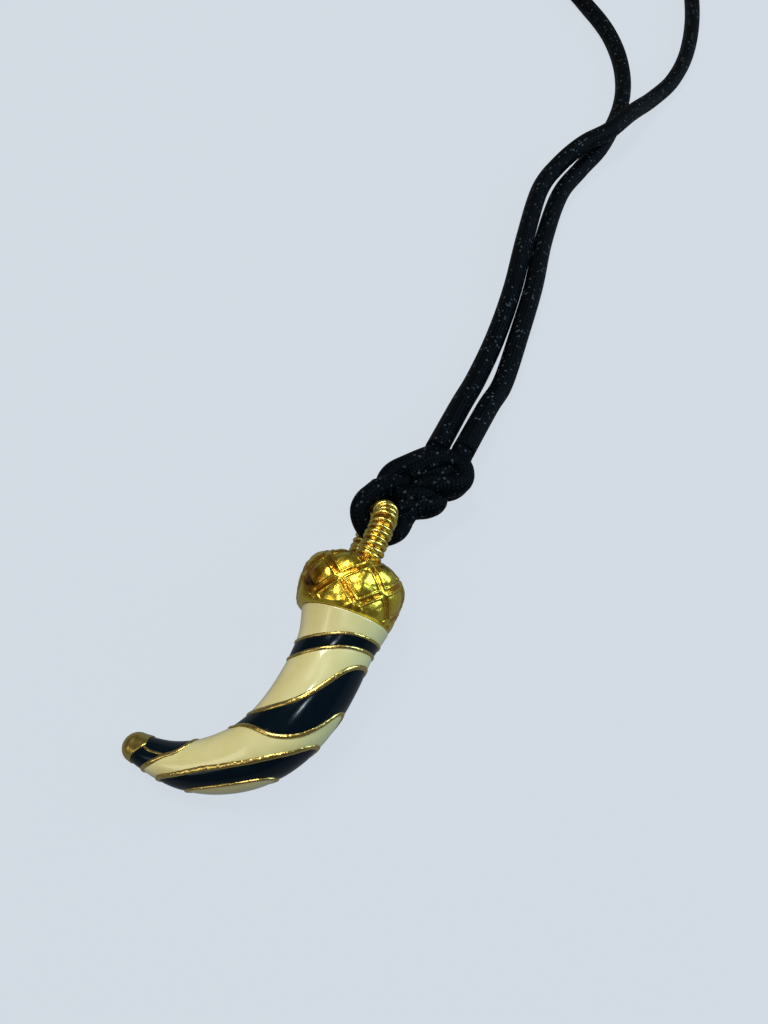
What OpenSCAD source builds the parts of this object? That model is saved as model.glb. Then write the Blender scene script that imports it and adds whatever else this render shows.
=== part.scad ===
// Cornicello horn pendant: an enamelled, curved horn under a quilted cap, with a ribbed bail,
// lying on its side with its knotted cord.
// All lengths are in millimetres, and +Y points from the horn's bend towards the bail and the cord.

/* [Horn] */
// Length of the horn along its middle, from the cap's rim to the middle of its rounded tip
horn_len = 35.2; // [30:0.2:42]
// Width of the horn just below its flared collar
neck_w = 9.2; // [8:0.1:10.6]
// How far the horn bends between the cap and its tip, in degrees
horn_bend = 93; // [84:1:104]
// Lean of the horn against the cap where it starts, in degrees
neck_lean = 5; // [0:1:10]

/* [Enamel] */
// Depth of the enamel between the gold lines
enamel_t = 0.8; // [0.5:0.05:0.95]
// Width of the gold lines between the colours
line_w = 0.65; // [0.4:0.05:0.9]
// How far the gold lines and the gold tip stand proud of the enamel
line_rise = 0.12; // [0.05:0.01:0.25]
// Clearance round each piece of enamel
cell_gap = 0.06; // [0.04:0.01:0.12]

/* [Cap] */
// Width of the cap at its swell
cap_w = 13.2; // [12:0.1:14.4]
// Height of the cap from its rim to its top
cap_h = 8.2; // [7.6:0.1:10]
// Width of the cap at its rim
rim_w = 11.7; // [11.4:0.1:12.8]
// How far the cap's rim stands outside the horn's collar
rim_lip = 0.05; // [0:0.05:0.4]
// Height of one quilted diamond, measured over the cap's surface
quilt_rise = 5.4; // [5.2:0.1:7.4]
// Diamonds round the cap
quilt_count = 7; // [5:1:8]
// Height of the raised bands between the diamonds
band_rise = 0.35; // [0.2:0.05:0.5]
// How far the middle of each diamond is puffed out
puff = 0.4; // [0.2:0.05:0.55]
// Width of the horn's peg, which the cap is set on
peg_w = 5; // [4:0.1:6.4]
// Length of the peg inside the cap
peg_len = 4.5; // [3:0.1:5.6]
// Clearance between the cap and the horn
seat_gap = 0.1; // [0.06:0.01:0.2]

/* [Bail] */
// Thickness of the bail's ribbed wire
bail_wire = 3.6; // [2.8:0.1:3.8]
// Width of the bail's eye, between its two legs
eye_w = 4; // [3.9:0.1:4.6]
// Height of the middle of the bail's arch above the cap's top
bail_reach = 3.8; // [2.8:0.1:4.4]
// Turn of the bail's arch about the cap's axis, away from front and back, in degrees
bail_turn = 28; // [0:1:60]
// Lean of the bail towards the outside of the bend, in degrees
bail_lean = 4; // [0:1:8]
// Distance from one rib of the wire to the next
rib_pitch = 0.8; // [0.7:0.05:1.2]
// Depth of the grooves between the ribs
rib_depth = 0.3; // [0.15:0.05:0.4]

/* [Cord] */
// Thickness of the satin cord
cord_d = 3.5; // [3:0.1:3.6]
// Thickness of the cord where it is drawn tight through the bail's eye
tight_d = 2.7; // [2.6:0.1:3.1]

/* [Hidden] */

// Sections of the horn. Columns: share of the length, share of the bend, share of the neck's width,
// share of the collar's flare
HORN = [
    [0.00,  0.00, 1.00,  1.00],
    [0.05, -0.01, 1.00,  0.60],
    [0.10, -0.02, 1.01,  0.23],
    [0.20,  0.03, 1.03,  0.02],
    [0.30,  0.10, 1.02,  0.00],
    [0.40,  0.21, 0.99,  0.00],
    [0.50,  0.36, 0.93,  0.00],
    [0.60,  0.53, 0.84,  0.00],
    [0.70,  0.66, 0.73,  0.00],
    [0.80,  0.80, 0.61,  0.00],
    [0.90,  0.93, 0.48,  0.00],
    [1.00,  1.00, 0.37,  0.00]
];

// The cap's rim, the gold lines and a line outside the bend. Columns: share of the horn's length, share
// of its half width, from -1 inside the bend to 1 outside it. Each line runs past the horn at both ends.
RIM = [[-0.05, -1.25], [-0.05, 1.25]];
RING_TOP = [[0.15, -1.25], [0.133, -0.74], [0.092, 0.00], [0.06, 0.60], [0.046, 1.25]];
RING_LOW = [[0.225, -1.25], [0.205, -0.75], [0.155, -0.15], [0.107, 0.56], [0.08, 1.25]];
SWEEP_TOP = [[0.56, -1.25], [0.465, -0.75], [0.395, -0.35], [0.325, 0.08], [0.255, 0.41],
             [0.175, 0.73], [0.136, 1.00], [0.12, 1.25]];
SWEEP_LOW = [[0.66, -1.25], [0.60, -0.90], [0.54, -0.68], [0.495, -0.34], [0.45, 0.26],
             [0.40, 0.65], [0.345, 0.86], [0.285, 1.00], [0.23, 1.25]];
KEEL_TOP = [[0.885, 1.30], [0.858, 0.79], [0.777, 0.40], [0.71, 0.25], [0.64, 0.28], [0.578, 0.37],
            [0.505, 0.56], [0.445, 0.80], [0.395, 1.00], [0.36, 1.25]];
KEEL_LOW = [[0.83, 1.30], [0.768, 0.95], [0.69, 0.81], [0.60, 0.83], [0.53, 0.97], [0.47, 1.30]];
BELLY_OUT = [[0.48, 2.20], [0.65, 2.20], [0.82, 2.20]];
TIP_LINE = [[0.76, -1.30], [0.782, -0.78], [0.818, -0.41], [0.865, -0.10], [0.925, 0.75], [0.94, 1.30]];
TIP_GOLD = [[0.985, -1.30], [0.96, -0.45], [0.975, 0.03], [0.993, 0.60], [1.00, 1.30]];

// Turns of the doubled cord that make the knot. Columns: both ends of each turn, measured from the
// knot's place on the surface, as shares of the cord's thickness
KNOT = [
    [[-1.25, 0.15, 1.45], [0.00, 0.85, 1.40]],
    [[0.00, 0.85, 1.30], [1.30, 0.50, 1.30]],
    [[-1.20, 0.20, 1.75], [0.15, -0.85, 1.55]],
    [[-0.75, -0.85, 1.35], [0.75, 0.55, 1.80]],
    [[-0.85, 0.20, 0.85], [0.75, 0.10, 0.85]]
];

// Route of the cord from the knot, round the neck loop and back to the knot
ROUTE = [
    [22.8, 29.6, 5.1], [27.2, 39.6, 3.0], [30.4, 46.4, 1.8], [34.4, 55.8, 1.8], [38.4, 67.6, 1.8],
    [41.9, 80.5, 2.9], [45.9, 93.2, 3.6], [50.4, 100.2, 4.2], [55.6, 105.0, 5.4],
    [61.6, 109.6, 5.4], [68.0, 117.5, 4.6], [75.0, 126.6, 2.4], [81.7, 135.4, 1.8],
    [87.7, 147.8, 1.8], [93.0, 166.0, 1.8], [97.0, 190.0, 1.8], [99.5, 218.0, 1.8],
    [95.0, 247.0, 1.8], [78.0, 268.5, 1.8], [52.0, 276.0, 1.8], [22.0, 274.0, 1.8],
    [-4.0, 262.0, 1.8], [-13.5, 243.0, 1.8], [-5.0, 222.0, 1.8], [20.0, 208.5, 1.8],
    [46.0, 198.0, 1.8], [61.0, 184.0, 1.8], [67.4, 167.0, 1.8], [70.4, 153.0, 1.8],
    [70.5, 138.5, 1.8], [67.8, 125.0, 1.8], [61.6, 110.8, 1.8], [55.6, 102.2, 1.8],
    [50.3, 94.0, 1.8], [45.5, 80.5, 1.8], [42.1, 67.6, 1.8], [38.3, 55.8, 1.8],
    [34.7, 45.4, 1.8], [31.6, 39.4, 3.0], [26.8, 29.3, 5.1]
];

// Route of the short turn of cord through the bail's eye
EYE_ROUTE = [
    [14.3, 20.8, 8.9], [13.4, 19.8, 9.1], [12.3, 18.6, 9.2], [11.7, 17.1, 9.0], [12.0, 15.5, 8.6],
    [12.9, 14.3, 8.0], [14.4, 13.8, 7.4], [15.9, 14.2, 7.0], [17.0, 15.1, 6.7], [17.7, 16.6, 6.2]
];

// Place of the cap's rim on the surface, so that the origin lies under the middle of the pendant
NECK_AT = [9.5, 2.1];
// Turn of the lying pendant about the vertical, in degrees
LIE_TURN = 18;
// Place of the knot on the surface
KNOT_AT = [21, 24];
// Half width of a turn of the doubled cord in the knot, as a share of the cord's thickness
TURN_HALF = 0.78;
// Distance from the cap's axis to the horn's middle at the rim
NECK_OUT = 0.5;
// Shares of the horn's length: where it has taken up its lean against the cap, where it touches the
// surface, and a point well past its tip
LEAN_BY = 0.1;
BELLY_AT = 0.6;
PAST_TIP = 1.3;
// Share of the cap's height at its widest place, and how square its shoulders are
SWELL_AT = 0.55;
SHOULDER = 2.3;
// Height above the rim and turn about the axis of the place where the quilting's bands first cross
QUILT_START = 0.9;
QUILT_PHASE = 27;
// Roundness of a puffed diamond, and how far a bead stands above its bands, as a share of their height
PUFF_ROUND = 0.6;
BEAD_RISE = 0.33;
// Plain rows at the cap's top, and rows below them in which the relief fades out
TOP_ROWS = 1.5;
FADE_ROWS = 3;
// How deep the bail's feet go into the cap, as a share of its height
FOOT_IN = 0.3;

// Sides and steps of the horn's skin
HORN_SIDES = 20;
HORN_STEPS = 24;
TIP_STEPS = 5;
PROFILE_STEPS = 40;
// Points that smooth each stretch of a gold line
LINE_STEPS = 2;
// Columns of the cap's skin in each diamond, and rows in each diamond's height
QUILT_GRID = 7;
BAIL_SIDES = 10;
KNOT_SIDES = 12;
CORD_SIDES = 8;
// Rings in each stretch of the two routes
CORD_STEPS = 2;
EYE_STEPS = 2;

GOLD = [0.83, 0.62, 0.22];
CREAM = [0.93, 0.89, 0.74];
BLACK = [0.03, 0.03, 0.05];
CORD_BLACK = [0.07, 0.08, 0.10];

neck_r = neck_w / 2;
collar_r = rim_w / 2 - rim_lip;
line_clear = line_w / 2 + cell_gap;
core_inset = enamel_t + cell_gap;
// Anything longer than the pendant, for cuts that go right through it
through = 2 * horn_len;

// Smooth value of column c of a table at share x
function row_of(T, x) = max([for (i = [0 : len(T) - 2]) if (i == 0 || T[i][0] <= x) i]);
function slope(T, c, i) =
    let (a = T[max(i - 1, 0)], b = T[min(i + 1, len(T) - 1)]) (b[c] - a[c]) / (b[0] - a[0]);
function at(T, c, x) =
    let (i = row_of(T, x), a = T[i], b = T[i + 1], h = b[0] - a[0], u = (x - a[0]) / h)
    a[c] * (1 + 2 * u) * (1 - u) * (1 - u) + b[c] * u * u * (3 - 2 * u)
    + h * u * (1 - u) * (slope(T, c, i) * (1 - u) - slope(T, c, i + 1) * u);

// A list from its end to its start
function back(P) = [for (i = [len(P) - 1 : -1 : 0]) P[i]];

// Smooth curve through a list of points, with n steps in each stretch
function between(P, i, u) =
    let (n = len(P) - 1, b = P[i], c = P[i + 1],
         a = i == 0 ? 2 * b - c : P[i - 1], d = i == n - 1 ? 2 * c - b : P[i + 2])
    (2 * b + (c - a) * u + (2 * a - 5 * b + 4 * c - d) * u * u
     + (3 * b - a - 3 * c + d) * u * u * u) / 2;
function smooth(P, n) =
    concat([for (i = [0 : len(P) - 2], k = [0 : n - 1]) between(P, i, k / n)], [P[len(P) - 1]]);

// Faces that join rings of n points, with the first and the last ring closed by one point each
function ring_faces(rings, n) = [
    for (i = [0 : rings - 2], j = [0 : n - 1])
        each [[i * n + j, (i + 1) * n + j, i * n + (j + 1) % n],
              [i * n + (j + 1) % n, (i + 1) * n + j, (i + 1) * n + (j + 1) % n]]
];
function end_faces(rings, n) = [
    for (j = [0 : n - 1])
        each [[rings * n, j, (j + 1) % n],
              [rings * n + 1, (rings - 1) * n + (j + 1) % n, (rings - 1) * n + j]]
];

// Closed solid through a list of rings, each running clockwise for someone who looks along the list
module skin(rings, first, last) {
    n = len(rings[0]);
    polyhedron(concat([for (r = rings) each r], [first, last]),
               concat(ring_faces(len(rings), n), end_faces(len(rings), n)));
}

// Horn: direction of its middle at a share of its length, measured from -Y towards -X
function on_horn(s) = min(max(s, 0), 1);
function heading(s) = neck_lean * min(on_horn(s) / LEAN_BY, 1) + horn_bend * at(HORN, 1, on_horn(s));
function half_width(s) =
    neck_r * at(HORN, 2, on_horn(s)) + (collar_r - neck_r) * at(HORN, 3, on_horn(s));
function ahead(s) = let (a = heading(s)) [-sin(a), -cos(a)];
function outward(s) = let (a = heading(s)) [cos(a), -sin(a)];
horn_path = [
    for (i = 0, p = [NECK_OUT, 0]; i <= HORN_STEPS;
         p = p + ahead((i + 0.5) / HORN_STEPS) * horn_len / HORN_STEPS, i = i + 1) p
];
// Point on the horn's middle at a share of its length, also a little before the rim or past the tip
function middle(s) =
    let (i = max(0, min(HORN_STEPS - 1, floor(s * HORN_STEPS))), u = s * HORN_STEPS - i)
    horn_path[i] * (1 - u) + horn_path[i + 1] * u;

// Ring of the horn's skin round a point, facing the given share of the length
function horn_ring(c, s, r) = [
    for (j = [0 : HORN_SIDES - 1])
        let (f = 360 * j / HORN_SIDES, o = c + outward(s) * r * cos(f)) [o[0], o[1], r * sin(f)]
];
function horn_rings(inset, a, b) = [
    for (i = [a : b])
        horn_ring(middle(i / HORN_STEPS), i / HORN_STEPS, half_width(i / HORN_STEPS) - inset)
];
function tip_rings(inset) =
    let (r = half_width(1) - inset)
    [for (k = [1 : TIP_STEPS - 1])
        horn_ring(middle(1) + ahead(1) * r * sin(90 * k / TIP_STEPS), 1, r * cos(90 * k / TIP_STEPS))];
function level(p) = [p[0], p[1], 0];

// Whole horn, with its skin moved in by inset
module horn_body(inset) {
    skin(concat(horn_rings(inset, 0, HORN_STEPS), tip_rings(inset)),
         level(middle(0)), level(middle(1) + ahead(1) * (half_width(1) - inset)));
}

// Wall of enamel between two steps along the horn, open inside
module horn_wall(a, b) {
    outer = horn_rings(0, a, b);
    inner = horn_rings(enamel_t, a, b);
    rings = concat(outer, back(inner));
    n = HORN_SIDES;
    m = len(rings);
    polyhedron([for (r = rings) each r],
        [for (i = [0 : m - 1], j = [0 : n - 1])
            let (k = (i + 1) % m, l = (j + 1) % n)
            each [[i * n + j, k * n + j, i * n + l], [i * n + l, k * n + j, k * n + l]]]);
}

// Gold line or edge in the horn's plane, moved sideways towards the tip or the outside of the bend
function plan_line(L) =
    [for (p = smooth(L, LINE_STEPS)) middle(p[0]) + outward(p[0]) * half_width(p[0]) * p[1]];
function beside(L, d) =
    let (P = plan_line(L), n = len(P) - 1)
    [for (i = [0 : n])
        let (t = P[min(i + 1, n)] - P[max(i - 1, 0)]) P[i] + [t[1], -t[0]] * d / norm(t)];
module cut(outline) {
    linear_extrude(height = through, center = true) polygon(outline);
}
module gold_line(L) {
    cut(concat(beside(L, -line_w / 2), back(beside(L, line_w / 2))));
}

function past_tip(side) = middle(PAST_TIP) + outward(1) * side;

// Steps along the horn that a piece of enamel spans, with its edges given as gold lines
function lowest(lines) = min([for (L = lines, p = L) p[0]]);
function highest(lines) = max([for (L = lines, p = L) p[0]]);
module enamel(lines, outline, shade) {
    first = max(0, floor(lowest(lines) * HORN_STEPS) - 1);
    last = min(HORN_STEPS, ceil(highest(lines) * HORN_STEPS) + 1);
    color(shade) lie() intersection() {
        horn_wall(first, last);
        cut(outline);
    }
}

// Cap: outline from the rim to the top, as pairs of height and radius
function cap_point(u) =
    u < SWELL_AT
    ? [cap_h * u, cap_w / 2 - (cap_w - rim_w) / 2 * pow(1 - u / SWELL_AT, 2)]
    : let (a = 90 * (u - SWELL_AT) / (1 - SWELL_AT))
      [cap_h * (SWELL_AT + (1 - SWELL_AT) * pow(sin(a), 2 / SHOULDER)),
       cap_w / 2 * pow(max(cos(a), 0), 2 / SHOULDER)];
cap_outline = [for (k = [0 : PROFILE_STEPS]) cap_point(k / PROFILE_STEPS)];
cap_run = [
    for (k = 0, d = 0; k <= PROFILE_STEPS;
         d = d + (k < PROFILE_STEPS ? norm(cap_outline[k + 1] - cap_outline[k]) : 0), k = k + 1) d
];
function cap_height(d) = lookup(d, [for (k = [0 : PROFILE_STEPS]) [cap_run[k], cap_outline[k][0]]]);
function cap_radius(d) = lookup(d, [for (k = [0 : PROFILE_STEPS]) [cap_run[k], cap_outline[k][1]]]);

// Rows of the quilting, counted from the first row where its bands cross
quilt_row = quilt_rise / QUILT_GRID;
cap_rows = floor((cap_run[PROFILE_STEPS] - QUILT_START) / quilt_row - TOP_ROWS);
first_row = -floor(QUILT_START / quilt_row);

// Height of the relief. The bands of each family lie on whole numbers, and a bead where two cross
function on_band(a) = abs(a - round(a)) < 0.5 / QUILT_GRID;
function relief(a, b) =
    (on_band(a) || on_band(b) ? band_rise : puff * pow(abs(sin(180 * a) * sin(180 * b)), PUFF_ROUND))
    + (on_band(a) && on_band(b) ? band_rise * BEAD_RISE : 0);
function quilt_a(i, j) = (i + j) / QUILT_GRID;
function quilt_b(i, j) = (i - j) / QUILT_GRID;
function cap_ring(j) =
    let (d = QUILT_START + j * quilt_row, fade = min(1, (cap_rows - j) / FADE_ROWS))
    [for (i = [0 : quilt_count * QUILT_GRID - 1])
        let (f = QUILT_PHASE + 360 * i / (quilt_count * QUILT_GRID),
             r = cap_radius(d) + fade * relief(quilt_a(i, j), quilt_b(i, j)))
        [r * sin(f), seat_gap + cap_height(d), r * cos(f)]];
function plain_ring(r, y) = [
    for (i = [0 : quilt_count * QUILT_GRID - 1])
        let (f = QUILT_PHASE + 360 * i / (quilt_count * QUILT_GRID)) [r * sin(f), y, r * cos(f)]
];

socket_r = peg_w / 2 + seat_gap;
socket_h = peg_len + seat_gap;
module quilted_cap() {
    n = quilt_count * QUILT_GRID;
    socket = [plain_ring(socket_r, seat_gap + socket_h), plain_ring(socket_r, seat_gap)];
    rows = [for (j = [first_row : cap_rows]) cap_ring(j)];
    rings = concat(socket, [plain_ring(rim_w / 2, seat_gap)], rows);
    m = len(rings);
    lead = 3 - first_row;
    polyhedron(
        concat([for (r = rings) each r],
               [[0, seat_gap + socket_h, 0], [0, seat_gap + cap_h + band_rise / 2, 0]]),
        concat(
            [for (i = [0 : m - 2], j = [0 : n - 1])
                let (p = i * n + j, q = i * n + (j + 1) % n)
                each i >= 3 && on_band(quilt_b(j, i - lead))
                     ? [[p, q + n, q], [p, p + n, q + n]] : [[p, p + n, q], [q, p + n, q + n]]],
            end_faces(m, n)));
}

// Bail: an arch of ribbed wire, with both feet sunk in the cap's top
bail_bend = (eye_w + bail_wire) / 2;
bail_leg = bail_reach + FOOT_IN * cap_h;
bail_run = 2 * bail_leg + 180 * bail_bend * PI / 180;
rib_half_count = 2 * round(bail_run / rib_pitch);
// Place and direction of the wire at a distance along it
function bail_at(d) =
    let (a = (d - bail_leg) / bail_bend * 180 / PI)
    d < bail_leg ? [-bail_bend, d - bail_leg, 90]
    : d > bail_run - bail_leg ? [bail_bend, bail_run - bail_leg - d, -90]
    : [-bail_bend * cos(a), bail_bend * sin(a), 90 - a];
function bail_ring(k) =
    let (q = bail_at(bail_run * k / rib_half_count), r = bail_wire / 2 - (k % 2) * rib_depth)
    [for (j = [0 : BAIL_SIDES - 1])
        let (f = 360 * j / BAIL_SIDES)
        [r * sin(f), q[1] - r * cos(f) * cos(q[2]), q[0] + r * cos(f) * sin(q[2])]];
module bail() {
    translate([0, seat_gap + cap_h, 0]) rotate([0, 0, -bail_lean]) rotate([0, bail_turn, 0])
        translate([0, bail_reach, 0])
            skin([for (k = [0 : rib_half_count]) bail_ring(k)],
                 [0, -bail_leg, -bail_bend], [0, -bail_leg, bail_bend]);
}

// Rest: the pendant lies on the cap's swell, the outside of the bend and the tip. The plane that
// touches all three from below gives the vertical, with up_x, up_y and up_z along the pendant
rest_cap = [0, SWELL_AT * cap_h, cap_w / 2 + band_rise];
rest_belly = [middle(BELLY_AT)[0], middle(BELLY_AT)[1], half_width(BELLY_AT) + line_rise];
rest_tip = [middle(1)[0], middle(1)[1], half_width(1) + line_rise];
side_b = rest_belly - rest_cap;
side_t = rest_tip - rest_cap;
rest_det = side_b[0] * side_t[1] - side_b[1] * side_t[0];
up_x = (side_b[2] * side_t[1] - side_b[1] * side_t[2]) / rest_det;
up_y = (side_b[0] * side_t[2] - side_b[2] * side_t[0]) / rest_det;
up_z = sqrt(1 - up_x * up_x - up_y * up_y);
lift = max(rest_cap[2] - rest_cap[0] * up_x - rest_cap[1] * up_y,
           max([for (i = [0 : HORN_STEPS])
               let (s = i / HORN_STEPS, p = middle(s))
               half_width(s) + line_rise - p[0] * up_x - p[1] * up_y]));
module lie() {
    translate([NECK_AT[0], NECK_AT[1], lift]) rotate([0, 0, -LIE_TURN])
        rotate(a = acos(up_z), v = [up_y, -up_x, 0]) children();
}

// Cord: rings square to a route, with a level side to each
function along(P, i) =
    let (n = len(P) - 1, t = P[min(i + 1, n)] - P[max(i - 1, 0)]) t / norm(t);
function cord_ring(P, i, r) =
    let (t = along(P, i), s = cross(t, [0, 0, 1]), a = s / norm(s), b = cross(a, t))
    [for (j = [0 : CORD_SIDES - 1])
        let (f = 360 * (0.5 - j) / CORD_SIDES) P[i] + r * (a * cos(f) + b * sin(f))];
module cord_tube(P, d) {
    skin([for (i = [0 : len(P) - 1]) cord_ring(P, i, d / 2)], P[0], P[len(P) - 1]);
}

module horn_core() {
    color(GOLD) lie() union() {
        horn_body(core_inset);
        intersection() {
            horn_body(-line_rise);
            union() {
                for (L = [RING_TOP, RING_LOW, SWEEP_TOP, SWEEP_LOW, KEEL_TOP, KEEL_LOW, TIP_LINE])
                    gold_line(L);
                cut(concat(beside(TIP_GOLD, -line_w / 2), [past_tip(neck_r), past_tip(-neck_r)]));
            }
        }
        translate([0, -neck_r / 2, 0]) rotate([-90, 0, 0])
            cylinder(h = neck_r / 2 + peg_len, d = peg_w, $fn = 48);
    }
}
module cream_collar() {
    enamel([RIM, RING_TOP], concat(plan_line(RIM), back(beside(RING_TOP, -line_clear))), CREAM);
}
module black_ring() {
    enamel([RING_TOP, RING_LOW],
           concat(beside(RING_TOP, line_clear), back(beside(RING_LOW, -line_clear))), BLACK);
}
module cream_upper() {
    enamel([RING_LOW, SWEEP_TOP],
           concat(beside(RING_LOW, line_clear), back(beside(SWEEP_TOP, -line_clear))), CREAM);
}
module black_sweep() {
    enamel([SWEEP_TOP, SWEEP_LOW],
           concat(beside(SWEEP_TOP, line_clear), back(beside(SWEEP_LOW, -line_clear))), BLACK);
}
module cream_lower() {
    enamel([SWEEP_LOW, KEEL_TOP, TIP_LINE],
           concat(beside(SWEEP_LOW, line_clear), back(beside(KEEL_TOP, -line_clear)),
                  back(beside(TIP_LINE, -line_clear))), CREAM);
}
module black_keel() {
    enamel([KEEL_TOP],
           concat(beside(KEEL_TOP, line_clear), back(beside(KEEL_LOW, -line_clear))), BLACK);
}
module cream_belly() {
    enamel([KEEL_LOW], concat(beside(KEEL_LOW, line_clear), plan_line(BELLY_OUT)), CREAM);
}
module black_tip() {
    enamel([TIP_LINE, TIP_GOLD],
           concat(beside(TIP_LINE, line_clear), back(beside(TIP_GOLD, -line_clear))), BLACK);
}
module cap() {
    color(GOLD) lie() union() {
        quilted_cap();
        bail();
    }
}
module knot() {
    color(CORD_BLACK) translate([KNOT_AT[0], KNOT_AT[1], 0]) union() {
        for (ends = KNOT)
            hull() for (p = ends) translate(cord_d * p) sphere(r = TURN_HALF * cord_d, $fn = KNOT_SIDES);
    }
}
module cord_eye() {
    color(CORD_BLACK) cord_tube(smooth(EYE_ROUTE, EYE_STEPS), tight_d);
}
module cord() {
    color(CORD_BLACK) cord_tube(smooth(ROUTE, CORD_STEPS), cord_d);
}

horn_core();
cream_collar();
black_ring();
cream_upper();
black_sweep();
cream_lower();
black_keel();
cream_belly();
black_tip();
cap();
cord_eye();
knot();
cord();
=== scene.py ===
# Cornicello horn pendant: an enamelled horn under a quilted gold cap, tied to its black satin cord.
import math

import bpy
import numpy as np
from mathutils import Matrix, Vector, kdtree, noise


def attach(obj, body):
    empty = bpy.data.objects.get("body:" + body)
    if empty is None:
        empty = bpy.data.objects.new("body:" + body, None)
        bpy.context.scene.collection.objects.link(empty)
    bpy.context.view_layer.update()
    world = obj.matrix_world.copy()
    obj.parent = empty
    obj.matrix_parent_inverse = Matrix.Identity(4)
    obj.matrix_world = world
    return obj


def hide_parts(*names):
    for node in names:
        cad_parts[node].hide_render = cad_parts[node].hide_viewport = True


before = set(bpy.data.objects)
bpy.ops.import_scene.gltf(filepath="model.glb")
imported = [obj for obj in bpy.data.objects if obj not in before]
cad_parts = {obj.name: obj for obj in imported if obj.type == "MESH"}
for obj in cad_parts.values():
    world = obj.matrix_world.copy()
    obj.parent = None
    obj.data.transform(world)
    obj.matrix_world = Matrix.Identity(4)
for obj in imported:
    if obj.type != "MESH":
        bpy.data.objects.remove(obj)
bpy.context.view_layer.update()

# Camera: the photograph looks steeply down on the lying pendant from just in front of the horn's
# bend, through a wide lens held a hand's width above the surface.
LENS_HEIGHT = 0.0893
LOOKING_DOWN = 60.5
camera_data = bpy.data.cameras.new("camera")
camera_data.lens = 23.9
camera_data.sensor_width = 36
camera_data.clip_start = 0.005
camera_data.clip_end = 20
camera = bpy.data.objects.new("camera", camera_data)
camera.location = (0.0150, -0.0287, LENS_HEIGHT)
camera.rotation_euler = (math.radians(90 - LOOKING_DOWN), 0, 0)
bpy.context.scene.collection.objects.link(camera)
bpy.context.scene.camera = camera

# Neck cord: black satin cord, braided round a soft core. One length of it runs from the knot round
# the neck loop and back to the knot, and its two halves lie side by side near the knot.
MM = 0.001
CORD_D = 3.5
CORD_SIDES = 24
CORD_PITCH = 0.8
CURVE_STEPS = 12
CORD_ROUTE = [
    (22.8, 29.6, 5.1), (27.2, 39.6, 3.0), (30.4, 46.4, 1.8), (34.4, 55.8, 1.8), (38.4, 67.6, 1.8),
    (41.9, 80.5, 2.9), (45.9, 93.2, 3.6), (50.4, 100.2, 4.2), (55.6, 105.0, 5.4),
    (61.6, 109.6, 5.4), (68.0, 117.5, 4.6), (75.0, 126.6, 2.4), (81.7, 135.4, 1.8),
    (87.7, 147.8, 1.8), (93.0, 166.0, 1.8), (97.0, 190.0, 1.8), (99.5, 218.0, 1.8),
    (95.0, 247.0, 1.8), (78.0, 268.5, 1.8), (52.0, 276.0, 1.8), (22.0, 274.0, 1.8),
    (-4.0, 262.0, 1.8), (-13.5, 243.0, 1.8), (-5.0, 222.0, 1.8), (20.0, 208.5, 1.8),
    (46.0, 198.0, 1.8), (61.0, 184.0, 1.8), (67.4, 167.0, 1.8), (70.4, 153.0, 1.8),
    (70.5, 138.5, 1.8), (67.8, 125.0, 1.8), (61.6, 110.8, 1.8), (55.6, 102.2, 1.8),
    (50.3, 94.0, 1.8), (45.5, 80.5, 1.8), (42.1, 67.6, 1.8), (38.3, 55.8, 1.8),
    (34.7, 45.4, 1.8), (31.6, 39.4, 3.0), (26.8, 29.3, 5.1),
]


def smooth_curve(points, steps):
    """Curve through every point, with steps places in each stretch."""
    points = np.asarray(points, float)
    ends = np.vstack([2 * points[0] - points[1], points, 2 * points[-1] - points[-2]])
    u = np.arange(steps)[:, None] / steps
    runs = [
        (2 * b + (c - a) * u + (2 * a - 5 * b + 4 * c - d) * u**2 + (3 * b - a - 3 * c + d) * u**3) / 2
        for a, b, c, d in zip(ends, ends[1:], ends[2:], ends[3:])
    ]
    return np.vstack(runs + [points[-1:]])


def run_of(path):
    """Distance along a path of each of its points."""
    return np.r_[0, np.cumsum(np.linalg.norm(np.diff(path, axis=0), axis=1))]


def evenly(path, pitch):
    """The same path with its points about a pitch apart."""
    run = run_of(path)
    places = np.linspace(0, run[-1], max(2, round(run[-1] / pitch)) + 1)
    return np.column_stack([np.interp(places, run, path[:, k]) for k in range(path.shape[1])])


def unit(vectors):
    return vectors / np.linalg.norm(vectors, axis=-1, keepdims=True)


def carried_sides(path):
    """Direction to one side of a path at each point, carried along it without twist."""
    ahead = unit(np.gradient(path, axis=0))
    sides = [unit(np.cross(ahead[0], (0.0, 0.0, 1.0)))]
    for t in ahead[1:]:
        sides.append(unit(sides[-1] - t * np.dot(sides[-1], t)))
    return ahead, np.array(sides)


def ring_quads(rows, columns):
    """Faces that join rows of points, each row a closed ring."""
    i, j = np.meshgrid(np.arange(rows - 1), np.arange(columns), indexing="ij")
    k = (j + 1) % columns
    quads = np.stack([i * columns + j, i * columns + k, (i + 1) * columns + k, (i + 1) * columns + j], -1)
    return quads.reshape(-1, 4).tolist()


def end_fans(rows, columns):
    """Faces that close the first and the last ring, each with the point that follows the rings."""
    first, last, top = rows * columns, rows * columns + 1, (rows - 1) * columns
    fans = []
    for j in range(columns):
        k = (j + 1) % columns
        fans += [(first, k, j), (last, top + j, top + k)]
    return fans


def new_piece(name, points, faces, material):
    """A smooth shaded piece from points in millimetres."""
    mesh = bpy.data.meshes.new(name)
    mesh.from_pydata((np.asarray(points) * MM).tolist(), [], faces)
    mesh.shade_smooth()
    mesh.materials.append(material)
    piece = bpy.data.objects.new(name, mesh)
    bpy.context.scene.collection.objects.link(piece)
    return piece


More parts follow.
